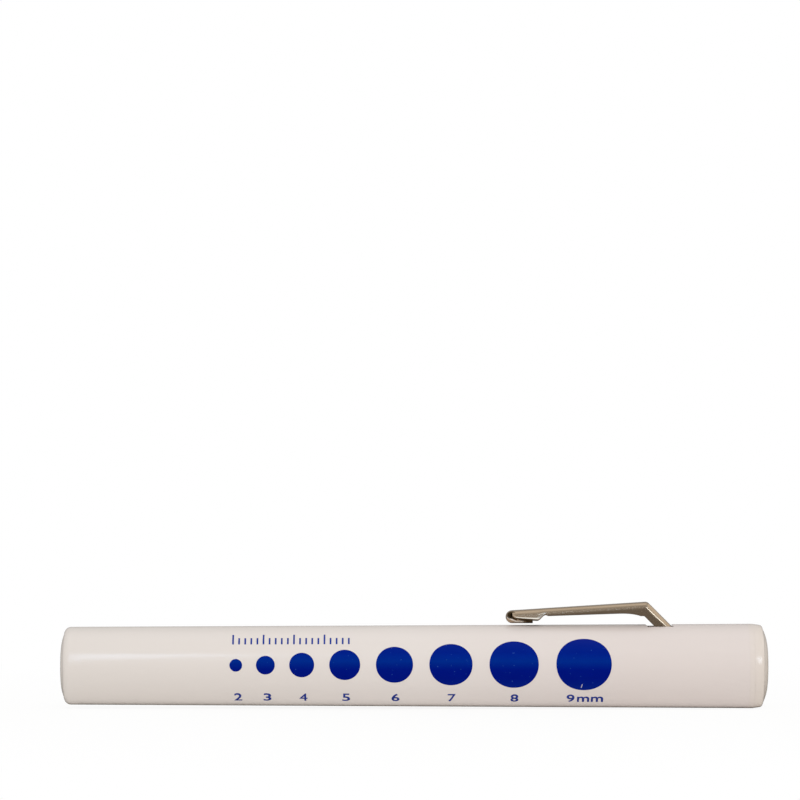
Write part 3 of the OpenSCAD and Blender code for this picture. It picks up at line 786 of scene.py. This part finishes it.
def clipSection(deep, ear):  # across the channel: (y, drop), from one rim over the web to the other
    c = clip
    half = c["width"] / 2
    r = mixed(c["shoulder"], c["earShoulder"], ear)
    lean = ear * c["earLean"]
    lip = min(ear * c["earLip"], deep / 4)  # at most a quarter of the depth
    straight = deep - lip
    end = max(lean, math.degrees(math.asin(max(0, 1 - straight / r))))
    path = [(0, 0)] + [(y, r - z) for y, z in arc((half - r, 0), r, 90, end, shoulderSteps)]
    shortest = 0.02 * mm  # of a straight run that is worth a point
    for low, slope in ((straight, lean), (deep, c["earLipLean"] * ear)):
        y, drop = path[-1]
        if low - drop > shortest:
            path.append((y + (low - drop) * math.tan(math.radians(slope)), low))
    side = evenly(path, sideSteps)
    return [(-y, drop) for y, drop in reversed(side)] + side[1:]


def makeClip():
    c = clip
    stations, leg = clipStations()
    carried = slice(sideSteps - rollSteps, sideSteps + rollSteps + 1)

    def ring(station):  # places of the section at a station
        top, low, ear = station
        deep = (low - top).length
        down = (low - top) / deep
        section = clipSection(deep, ear)
        return [Vector((top.x + down.x * drop, y, top.y + down.y * drop)) for y, drop in section]

    bm = bmesh.new()
    first = [bm.verts.new(place) for place in ring(stations[0])]
    for pair in zip(first, first[1:]):
        bm.edges.new(pair)

    def grow(verts, places):  # extrudes a row of vertices to new places, in the same order
        row = [e for a, b in zip(verts, verts[1:]) for e in a.link_edges if e.other_vert(a) is b]
        made = bmesh.ops.extrude_edge_only(bm, edges=row)["geom"]
        made = [g for g in made if isinstance(g, bmesh.types.BMVert)]
        ordered = [min(made, key=lambda v: (v.co - old.co).length) for old in verts]
        for vert, place in zip(ordered, places):
            vert.co = place
        return ordered

    row = first
    for station in stations[1:]:
        row = grow(row, ring(station))

    def strip(verts, path, width):  # carries the web on along a side view, with sides that turn in
        across = [i / rollSteps for i in range(-rollSteps, rollSteps + 1)]
        start = [vert.co.y for vert in verts]
        for (x, z), (inX, inZ), lip, share in path:  # share: from the channel's columns to even ones
            turns = [lip * t ** c["lipCurve"] for t in across]
            sides = [mixed(y, width / 2 * t, share) for y, t in zip(start, across)]
            verts = grow(verts, [
                Vector((x + inX * turn, y, z + inZ * turn)) for y, turn in zip(sides, turns)])

    r = c["rollRadius"]
    steps = stationSteps
    roll = []
    for i, place in enumerate(arc((rollX, rollZ), r, 90, 270, steps["roll"])[1:]):
        inward = ((rollX - place[0]) / r, (rollZ - place[1]) / r)
        roll.append((place, inward, mixed(c["startLip"], c["rollLip"], eased(i / lipSteps[0])), 1))
    for i in range(1, steps["tongue"] + 1):
        lip = mixed(c["rollLip"], c["tongueLip"], eased(i / lipSteps[1]))
        roll.append(((rollX + c["rollTongue"] * i / steps["tongue"], rollZ - r), (0, 1), lip, 1))
    strip(first[carried], roll, c["rollWidth"])
    rootTop = stations[-1][0]
    bend = c["footBend"]
    footHigh = clipLow.z + c["sheet"]
    turn = Vector((rootTop.x + (rootTop.y - footHigh) * -leg.x / leg.y, footHigh))
    bent = [i / steps["bend"] for i in range(1, steps["bend"] + 1)]
    foot = [rootTop.lerp(turn - leg * bend, share) for share in c["footRings"]]
    foot += [curve(turn - leg * bend, turn, turn + Vector((bend, 0)), share) for share in bent]
    foot += [Vector((clipHigh.x, footHigh))]
    footPath = [(place, (0, 0), 0, 1 if i else c["footStart"]) for i, place in enumerate(foot)]
    strip(row[carried], footPath, c["footWidth"])
    bmesh.ops.recalc_face_normals(bm, faces=bm.faces)
    topFace = max(bm.faces, key=lambda f: f.calc_center_median().z)
    if topFace.normal.z < 0:
        bmesh.ops.reverse_faces(bm, faces=bm.faces)
    bmesh.ops.solidify(bm, geom=bm.faces[:], thickness=c["sheet"])
    bm.normal_update()
    inner = [e for e in bm.edges if len(e.link_faces) == 2]
    rims = [e for e in inner if e.calc_face_angle() > math.radians(c["edgeAngle"])]
    bmesh.ops.bevel(
        bm, geom=rims, offset=c["edgeRound"], offset_type="OFFSET", segments=3,
        profile=0.5, affect="EDGES", material=-1, clamp_overlap=True)
    addPiece(bm, "pocketClip", "clip", clipNickel, ["pocket_clip"])


makeClip()
print("clip made")


# Print: gauge dots, their numbers and a plain millimetre scale, all wrapped on the skin
gauge = {
    "dotAngle": 5.5,
    "dotDrop": 0.2 * mm,  # how far the first dot sits below the last one's line
    "numberAngle": -48.7,
    "scaleAngle": 44.5,
    "firstDot": 29.0 * mm,
    "smallest": 2,
    "count": 8,
    "firstGap": 2.35 * mm,
    "gapGrowth": 0.1 * mm,
    "spread": 0.04 * mm,  # how far the ink has run past each dot's true size
    "lift": 0.022 * mm,
    "sunk": 0.05 * mm,
    "merge": 0.001 * mm,  # points closer than this are one
    "bandStep": 0.2 * mm,  # height of the bands that the numbers bend in
    "numberHigh": 1.95 * mm,
    "numberWide": 1.3 * mm,
    "numberBold": 0.02,  # in the font's units, as the next
    "numberMerge": 0.001,
    "unitWide": 4.3 * mm,
    "unitHigh": 0.76,  # of a number's height
    "unitGap": 0.42 * mm,
    "unitShift": 0.16 * mm,
    "numberShift": (0.32 * mm, 0.06 * mm),  # of the first and the last number, from their dots
    "scaleFirst": 28.5 * mm,
    "scaleMarks": 20,
    "scalePitch": 1.0 * mm,
    "scaleEvery": 5,  # marks from one long one to the next
    "scaleLine": 0.28 * mm,
    "scaleLong": 2.1 * mm,
    "scaleShort": 1.3 * mm,
}


def wrap(bm, angle):  # lays a flat print, drawn as (station, height), on the skin round a front line
    base = math.radians(angle)
    for vert in bm.verts:
        x = noseX + vert.co.x
        radius = skinRadius(x) + gauge["lift"]
        turn = base + vert.co.y / radius
        vert.co = (x, -radius * math.cos(turn), axisZ + radius * math.sin(turn))
    bmesh.ops.recalc_face_normals(bm, faces=bm.faces)
    outward = 0
    for face in bm.faces:
        middle = face.calc_center_median()
        outward += face.normal.dot(middle - Vector((middle.x, 0, axisZ)))
    if outward < 0:
        bmesh.ops.reverse_faces(bm, faces=bm.faces)
    bmesh.ops.solidify(bm, geom=bm.faces[:], thickness=gauge["sunk"])


def bands(bm, step):  # cuts a flat print into bands, so that it can bend round the skin
    heights = [v.co.y for v in bm.verts]
    cut = min(heights) + step
    while cut < max(heights):
        geom = bm.verts[:] + bm.edges[:] + bm.faces[:]
        bmesh.ops.bisect_plane(bm, geom=geom, plane_co=(0, cut, 0), plane_no=(0, 1, 0))
        cut += step


def dotStations():
    stations = []
    at = gauge["firstDot"]
    for i in range(gauge["count"]):
        if i:
            radii = (gauge["smallest"] + i - 0.5) * mm  # of this dot and the one before, together
            at += radii + gauge["firstGap"] + gauge["gapGrowth"] * (i - 1)
        stations.append(at)
    return stations


def makeDots():
    bm = bmesh.new()
    rings = 10
    for i, station in enumerate(dotStations()):
        radius = (gauge["smallest"] + i) / 2 * mm + gauge["spread"]
        low = gauge["dotDrop"] * (i / (gauge["count"] - 1) - 1)
        spoke = [bm.verts.new((station + radius * k / rings, low, 0)) for k in range(rings + 1)]
        edges = [bm.edges.new(pair) for pair in zip(spoke, spoke[1:])]
        bmesh.ops.spin(
            bm, geom=spoke + edges, cent=(station, low, 0), axis=(0, 0, 1),
            angle=math.tau, steps=innerSteps, use_merge=True)
    bmesh.ops.remove_doubles(bm, verts=bm.verts, dist=gauge["merge"])
    wrap(bm, gauge["dotAngle"])
    addPiece(bm, "gaugeDots", "barrel", dotInk, ["gauge_dots"])


def lettering(text, width, height, left, bottom):  # a flat mesh of some characters, fitted to a box
    words = bpy.data.curves.new("print", "FONT")
    words.body = text
    words.resolution_u = 10
    holder = addObject("print", words)
    bpy.context.view_layer.update()
    mesh = bpy.data.meshes.new_from_object(holder.evaluated_get(bpy.context.evaluated_depsgraph_get()))
    bpy.data.objects.remove(holder)
    bm = bmesh.new()
    bm.from_mesh(mesh)
    bmesh.ops.remove_doubles(bm, verts=bm.verts, dist=gauge["numberMerge"])
    bm.normal_update()
    if sum(f.normal.z for f in bm.faces) < 0:
        bmesh.ops.reverse_faces(bm, faces=bm.faces)
    thicken(bm, gauge["numberBold"])
    bm.to_mesh(mesh)
    bm.free()
    xs = [v.co.x for v in mesh.vertices]
    ys = [v.co.y for v in mesh.vertices]
    fit = Matrix.Diagonal((width / (max(xs) - min(xs)), height / (max(ys) - min(ys)), 1, 1))
    corner = Matrix.Translation((-min(xs), -min(ys), 0))
    mesh.transform(Matrix.Translation((left, bottom, 0)) @ fit @ corner)
    return mesh


def thicken(bm, by):  # moves the outline of flat lettering outwards
    moves = {}
    for edge in bm.edges:
        if len(edge.link_faces) == 1:
            a, b = edge.verts
            out = (b.co - a.co).cross(Vector((0, 0, 1))).normalized()
            if out.dot(edge.link_faces[0].calc_center_median() - a.co) > 0:
                out.negate()
            for vert in edge.verts:
                moves.setdefault(vert, []).append(out)
    for vert, outs in moves.items():
        vert.co += by * sum(outs, Vector()) / len(outs)
    bm.normal_update()
    upright, smallest = 0.5, 1e-6  # a face that leans more, or is smaller, has folded
    folded = [f for f in bm.faces if f.normal.z < upright or f.calc_area() < smallest]
    bmesh.ops.delete(bm, geom=folded, context="FACES")


def makeNumbers():
    g = gauge
    bm = bmesh.new()
    stations = dotStations()
    last = len(stations) - 1
    for i, station in enumerate(stations):
        middle = station + mixed(*g["numberShift"], i / last)
        wide = g["numberWide"]
        unit = g["unitGap"] + g["unitWide"] if i == last else 0
        left = middle - (wide + unit) / 2 + (g["unitShift"] if unit else 0)
        bottom = -g["numberHigh"] / 2
        bm.from_mesh(lettering(str(g["smallest"] + i), wide, g["numberHigh"], left, bottom))
        if unit:
            low = g["numberHigh"] * g["unitHigh"]
            bm.from_mesh(lettering("mm", g["unitWide"], low, left + wide + g["unitGap"], bottom))
    bmesh.ops.remove_doubles(bm, verts=bm.verts, dist=g["merge"])
    bands(bm, g["bandStep"])
    wrap(bm, g["numberAngle"])
    addPiece(bm, "gaugeNumbers", "barrel", lineInk)


def makeScale():
    g = gauge
    bm = bmesh.new()
    for i in range(g["scaleMarks"]):
        high = g["scaleShort"] if i % g["scaleEvery"] else g["scaleLong"]
        mark = bmesh.ops.create_grid(bm, x_segments=1, y_segments=8, size=0.5)["verts"]
        bmesh.ops.scale(bm, verts=mark, vec=(g["scaleLine"], high, 1))
        station = g["scaleFirst"] + i * g["scalePitch"]
        bmesh.ops.translate(bm, verts=mark, vec=(station, (high - g["scaleLong"]) / 2, 0))
    wrap(bm, g["scaleAngle"])
    addPiece(bm, "gaugeScale", "barrel", lineInk, ["gauge_scale"])


makeDots()
makeNumbers()
makeScale()
print("print made")


# Lamp: clear body with a domed tip
lamp = {
    "radius": 2.5 * mm,
    "domeSteps": 20,
    "flangeRadius": 2.9 * mm,
    "flangeHigh": 1.0 * mm,
    "round": 0.1 * mm,
    "roundSteps": 3,
}


def makeLens():
    low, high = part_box("lamp_lens")
    r = lamp["radius"]
    flange = high.x - lamp["flangeHigh"]
    outer = lamp["flangeRadius"]
    soft = lamp["round"]
    steps = lamp["roundSteps"]
    outline = [(low.x, 0)] + arc((low.x + r, 0), r, 180, 90, lamp["domeSteps"])[1:]
    outline += [(flange, r)] + arc((flange + soft, outer - soft), soft, 180, 90, steps)
    outline += arc((high.x - soft, outer - soft), soft, 90, 0, steps) + [(high.x, 0)]
    addPiece(turned(outline, innerSteps), "lampLens", "barrel", lampResin, ["lamp_lens"])


makeLens()
print("lamp made")


# Cup and spring behind the rear cell
cup = {"sheet": 0.3 * mm, "round": 0.3 * mm}
spring = {"turns": 6.5, "wire": 0.6 * mm, "sides": 14, "steps": 40}


def makeCup():
    low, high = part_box("contact_cup")
    outer = (high.z - low.z) / 2
    inner = outer - cup["sheet"]
    soft = cup["round"]
    outline = [(low.x, 0)] + arc((low.x + soft, outer - soft), soft, 180, 90, softSteps)
    bottom = low.x + cup["sheet"]
    outline += [(high.x, outer), (high.x, inner), (bottom, inner), (bottom, 0)]
    bm = turned(outline, innerSteps)
    addPiece(bm, "contactCup", "plug", contactSteel, ["contact_cup"])


def makeSpring():
    s = spring
    low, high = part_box("tail_spring")
    middle = (high.z - low.z) / 2 - s["wire"] / 2
    steps = int(s["turns"] * s["steps"])
    rise = (high.x - low.x - s["wire"]) / steps
    bm = bmesh.new()
    upright = Matrix.Rotation(math.pi / 2, 4, "X")
    start = Matrix.Translation((low.x + s["wire"] / 2, 0, axisZ + middle)) @ upright
    ring = bmesh.ops.create_circle(bm, segments=s["sides"], radius=s["wire"] / 2, matrix=start)["verts"]
    edges = list({e for v in ring for e in v.link_edges})
    ends = bmesh.ops.spin(
        bm, geom=ring + edges, cent=(0, 0, axisZ), axis=(1, 0, 0), dvec=(rise, 0, 0),
        angle=math.tau * s["turns"], steps=steps)
    last = [g for g in ends["geom_last"] if isinstance(g, bmesh.types.BMEdge)]
    bmesh.ops.contextual_create(bm, geom=edges)
    bmesh.ops.contextual_create(bm, geom=last)
    bmesh.ops.recalc_face_normals(bm, faces=bm.faces)
    addPiece(bm, "tailSpring", "plug", springSteel, ["tail_spring"])


makeCup()
makeSpring()
print("switch parts made")


# Finishes of the CAD nodes that stay
nodeFinishes = {
    "return_strip": contactBrass,
    "lamp_holder": holderPlastic,
    "lamp_anode_lead": leadTin,
    "lamp_cathode_lead": leadTin,
    "lamp_chip": chipPhosphor,
    "anode_plate": contactBrass,
    "insulating_washer": washerFibre,
}
cellFinishes = {
    "can": contactSteel, "jacket": cellFilm, "filling": cellPaste,
    "collector": contactBrass, "seal": cellNylon, "end_cap": cellCap,
}
for place in ("front", "rear"):
    for part, finish in cellFinishes.items():
        nodeFinishes[f"{place}_cell_{part}"] = finish
for node, finish in nodeFinishes.items():
    for slot in frame["nodes"][node].material_slots:
        slot.material = finish
print("nodes finished:", len(nodeFinishes))


# Studio: white floor, even white light and a softbox in front
studio = {
    "fill": 0.73,
    "floorTone": (0.95, 0.93, 0.90, 1),
    "floorGlow": 0.87,  # share of plain white in what the camera sees of the floor beside the barrel
    "floorFade": 0.9,  # how much the share grows in a metre
    "floorLift": 0.55,  # share of plain white in the light that the floor throws back
    "underStrip": (1.5 * mm, 2.5 * mm),  # distances from the barrel's line over which that share sets in
    "floorSize": 3.0,
    "floorDrop": 0.01 * mm,
    "softboxAt": (0, -0.77, 0.92),
    "softboxSize": (0.9, 0.6),
    "softboxPower": 4.0,
}
# What reflections alone show: a room that is light overhead, a dark table, two windows and a side wall
room = {
    "radius": 1.6,
    "walls": [  # by height, as a share of the radius
        (0.0, (0.30, 0.29, 0.28, 1)), (0.42, (0.42, 0.41, 0.40, 1)), (0.75, (0.48, 0.48, 0.47, 1)),
        (0.90, (0.65, 0.65, 0.64, 1)), (1.0, (0.98, 0.98, 0.97, 1))],
    "table": [  # by distance from the barrel's line, in metres
        (0.0, (0.05, 0.04, 0.03, 1)), (0.02, (0.06, 0.05, 0.04, 1)), (0.05, (0.17, 0.155, 0.14, 1))],
    "windows": {
        "leftWindow": [
            (-0.14, -0.6, 0.09), (-0.14, -0.6, 0.48), (-0.058, -0.6, 0.46), (-0.060, -0.6, 0.38)],
        "rightWindow": [(0.24, -0.6, 0.12), (0.24, -0.6, 0.34), (0.36, -0.6, 0.34), (0.36, -0.6, 0.12)],
        "sideWall": [(0.9, -1.0, 0.2), (0.9, -1.0, 1.25), (0.9, 0.9, 1.25), (0.9, 0.9, 0.2)],
    },
    "light": {
        "leftWindow": (2.9, 3.6, 4.6, 1),
        "rightWindow": (4.2, 4.9, 5.6, 1),
        "sideWall": (1.0, 0.98, 0.95, 1),
    },
}


def seenDirectly(tree):  # 1 for what the camera, a mirror or clear glass shows
    names = ("Is Camera Ray", "Is Glossy Ray", "Is Transmission Ray")
    camera, mirror, glass = [Wire(tree).node("LightPath", out=name) for name in names]
    return (camera + mirror + glass).smaller(1.0)


def makeFloor():
    bm = bmesh.new()
    bmesh.ops.create_grid(bm, x_segments=1, y_segments=1, size=studio["floorSize"])
    bmesh.ops.translate(bm, verts=bm.verts, vec=(0, 0, -studio["floorDrop"]))
    floor = addMesh("floor", bm)
    paint = bpy.data.materials.new("floorPaint")
    paint.use_nodes = True
    tree = paint.node_tree
    tree.nodes.remove(tree.nodes["Principled BSDF"])
    seen = seenDirectly(tree)
    place = Wire(tree).node("TexCoord", out="Object")
    away = place.node("VectorMath", {"operation": "LENGTH"}, {0: place}, out="Value")
    share = (studio["floorGlow"] + studio["floorFade"] * away).smaller(1.0)
    inner, outer = studio["underStrip"]
    beside = (place.axis(1).size() - inner) * (1 / (outer - inner))
    lift = studio["floorLift"] * beside.larger(0.0).smaller(1.0)
    matt = seen.node("BsdfDiffuse", {}, {"Color": studio["floorTone"]})
    glow = seen.node("Emission", {}, {"Color": (1, 1, 1, 1), "Strength": 1.0})
    white = lift + seen * (share - lift)
    paintMix = seen.node("MixShader", {}, {0: white, 1: matt, 2: glow})
    paintMix.feed(tree.nodes["Material Output"], "Surface")
    floor.data.materials.append(paint)


def addCard(bm, name):  # a stage piece that only reflections show
    card = addMesh(name, bm)
    card.visible_camera = False
    card.visible_diffuse = False
    card.visible_transmission = False
    card.visible_shadow = False
    unlit = {"Base_Color": (0, 0, 0, 1), "Specular_IOR_Level": 0, "Emission_Strength": 1}
    material, shader, place = newFinish(name + "Paint", **unlit)
    card.data.materials.append(material)
    return shader, place


def makeRoom():
    bm = bmesh.new()
    bmesh.ops.create_uvsphere(bm, u_segments=48, v_segments=32, radius=room["radius"])
    geom = bm.verts[:] + bm.edges[:] + bm.faces[:]
    bmesh.ops.bisect_plane(bm, geom=geom, plane_co=(0, 0, 0), plane_no=(0, 0, 1), clear_inner=True)
    shader, place = addCard(bm, "walls")
    high = place.axis(2) * (1 / room["radius"])
    high.node("ValToRGB", {"stops": room["walls"]}, {"Fac": high}).feed(shader, "Emission Color")
    bm = bmesh.new()
    bmesh.ops.create_grid(bm, x_segments=1, y_segments=1, size=room["radius"])
    shader, place = addCard(bm, "table")
    away = place.axis(1).size()
    away.node("ValToRGB", {"stops": room["table"]}, {"Fac": away}).feed(shader, "Emission Color")
    for name, corners in room["windows"].items():
        bm = bmesh.new()
        bm.faces.new([bm.verts.new(corner) for corner in corners])
        shader = addCard(bm, name)[0]
        shader.inputs["Emission Color"].default_value = room["light"][name]


def makeLights():
    world = bpy.data.worlds.new("studio")
    bpy.context.scene.world = world
    world.use_nodes = True
    tree = world.node_tree
    seen = seenDirectly(tree)
    strength = studio["fill"] + (1 - studio["fill"]) * seen
    strength.feed(tree.nodes["Background"], "Strength")
    tree.nodes["Background"].inputs["Color"].default_value = (1, 1, 1, 1)
    softbox = bpy.data.lights.new("softbox", "AREA")
    softbox.shape = "RECTANGLE"
    softbox.size, softbox.size_y = studio["softboxSize"]
    softbox.energy = studio["softboxPower"]
    holder = addObject("softbox", softbox)
    holder.location = studio["softboxAt"]
    aim = Vector((0, 0, axisZ)) - holder.location
    holder.rotation_euler = aim.to_track_quat("-Z", "Y").to_euler()
    holder.visible_glossy = False


# Camera: a long lens, level with the barrel's side as in the photo
view = {
    "frame": 800,  # pixels along a side of the image
    "scale": 6055.0,  # pixels per metre at the barrel's axis
    "away": 0.8,
    "middle": (414.3, 665.8),  # where the middle of the barrel's axis lands in the image
    "roll": -0.02,
    "sensor": 36.0,
}


def makeCamera():
    v = view
    camera = bpy.data.cameras.new("camera")
    camera.sensor_width = v["sensor"]
    camera.lens = v["scale"] * v["away"] / v["frame"] * v["sensor"]
    holder = addObject("camera", camera)
    right = (v["middle"][0] - v["frame"] / 2) / v["scale"]
    below = (v["middle"][1] - v["frame"] / 2) / v["scale"]
    holder.location = ((noseX + tailX) / 2 - right, -v["away"], axisZ + below)
    holder.rotation_euler = (math.pi / 2, math.radians(v["roll"]), 0)
    bpy.context.scene.camera = holder


makeFloor()
makeRoom()
makeLights()
makeCamera()
bpy.context.scene.view_settings.view_transform = "Standard"
print("studio ready")
